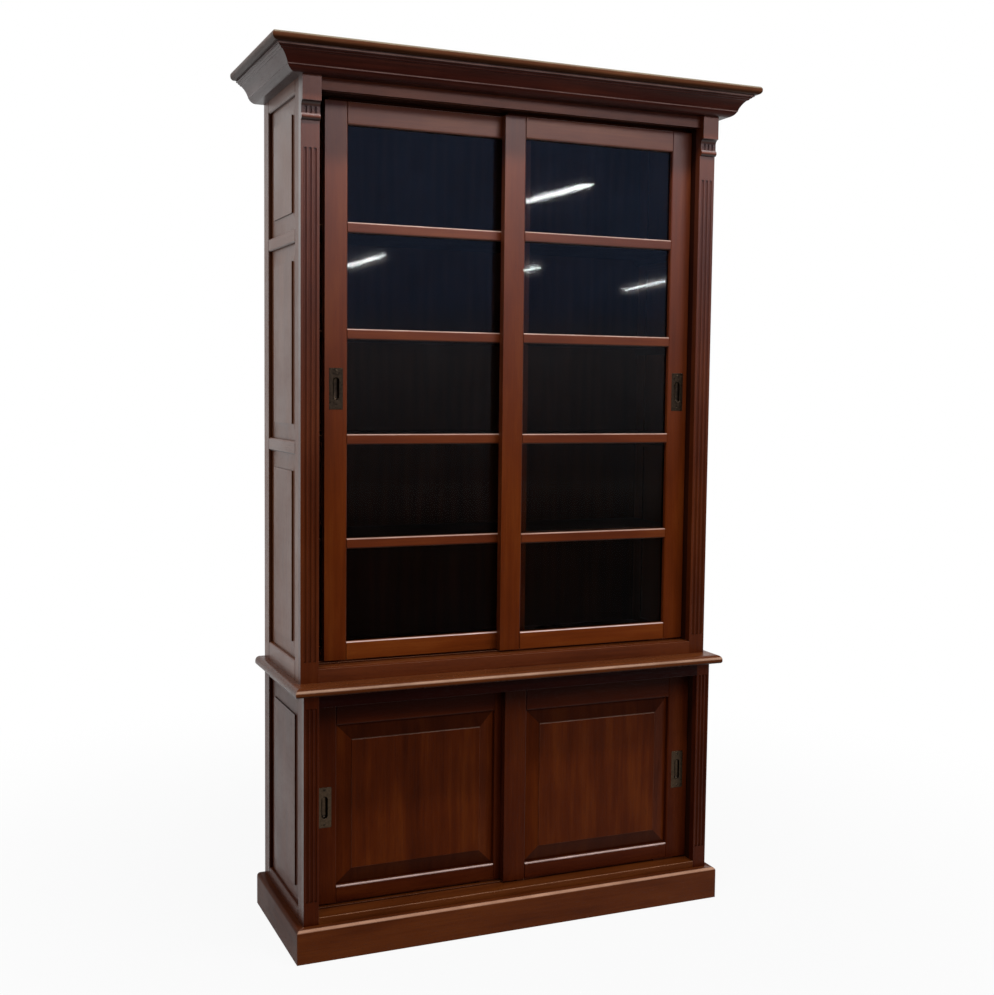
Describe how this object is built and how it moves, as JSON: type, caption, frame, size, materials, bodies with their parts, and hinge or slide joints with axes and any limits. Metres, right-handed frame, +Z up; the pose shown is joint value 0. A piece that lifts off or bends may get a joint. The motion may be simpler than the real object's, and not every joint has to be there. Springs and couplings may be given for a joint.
{
  "type": "bookcase with sliding glass doors",
  "caption": "Tall two-part wooden bookcase: sliding glazed doors with shelves above, sliding panelled doors below, fluted pilasters, moulded cornice and plinth.",
  "frame": {"origin": "on the floor, in the middle of the cornice footprint (the middle of the bounding box)", "axes": "+Z up, +X to the right as seen from the front, the doors and pilasters face -Y, +Y towards the wall"},
  "size_m": [1.316, 0.454, 2.2],
  "materials": {
    "case_wood": "stained mahogany, polished",
    "moulding_wood": "stained mahogany, polished",
    "door_wood": "stained mahogany, polished",
    "panel_wood": "stained mahogany, polished",
    "inside_wood": "stained wood, satin",
    "back_board": "stained pine and plywood, dull",
    "pane_glass": "clear window glass",
    "pull_brass": "aged brass, brown patina"
  },
  "bodies": {
    "case": {"base_back": "back_board", "base_end_panels": "panel_wood", "base_end_rails": "case_wood", "base_end_stiles": "case_wood", "base_floor": "inside_wood", "base_head_guide": "inside_wood", "base_pilasters": "case_wood", "base_shelf": "inside_wood", "base_top_rail": "case_wood", "corbels": "case_wood", "cornice_crown": "moulding_wood", "cornice_slab": "moulding_wood", "door_tracks": "inside_wood", "frieze_rail": "case_wood", "jamb_linings": "inside_wood", "plinth_back": "back_board", "plinth_blocks": "back_board", "plinth_ends": "moulding_wood", "plinth_front": "moulding_wood", "shelf_bearers": "inside_wood", "sill_rail": "case_wood", "upper_back": "back_board", "upper_end_panels": "panel_wood", "upper_end_rails": "case_wood", "upper_end_stiles": "case_wood", "upper_floor": "inside_wood", "upper_head_guide": "inside_wood", "upper_pilasters": "case_wood", "upper_shelves": "inside_wood", "upper_top_board": "inside_wood", "waist_slab": "moulding_wood"},
    "upper_left_door": {"upper_left_bars": "door_wood", "upper_left_beads": "door_wood", "upper_left_panes": "pane_glass", "upper_left_pull": "pull_brass", "upper_left_rails": "door_wood", "upper_left_runners": "inside_wood", "upper_left_stiles": "door_wood"},
    "upper_right_door": {"upper_right_bars": "door_wood", "upper_right_beads": "door_wood", "upper_right_panes": "pane_glass", "upper_right_pull": "pull_brass", "upper_right_rails": "door_wood", "upper_right_runners": "inside_wood", "upper_right_stiles": "door_wood"},
    "lower_left_door": {"lower_left_panel": "panel_wood", "lower_left_pull": "pull_brass", "lower_left_rails": "door_wood", "lower_left_runners": "inside_wood", "lower_left_stiles": "door_wood"},
    "lower_right_door": {"lower_right_panel": "panel_wood", "lower_right_pull": "pull_brass", "lower_right_rails": "door_wood", "lower_right_runners": "inside_wood", "lower_right_stiles": "door_wood"}
  },
  "joints": [
    {"name": "upper_left_door_slide", "type": "slide", "parent": "case", "child": "upper_left_door", "axis": [1, 0, 0], "range_m": [-0.03, 0.466]},
    {"name": "upper_right_door_slide", "type": "slide", "parent": "case", "child": "upper_right_door", "axis": [-1, 0, 0], "range_m": [0, 0.496]},
    {"name": "lower_left_door_slide", "type": "slide", "parent": "case", "child": "lower_left_door", "axis": [1, 0, 0], "range_m": [0, 0.508]},
    {"name": "lower_right_door_slide", "type": "slide", "parent": "case", "child": "lower_right_door", "axis": [-1, 0, 0], "range_m": [0, 0.508]}
  ]
}
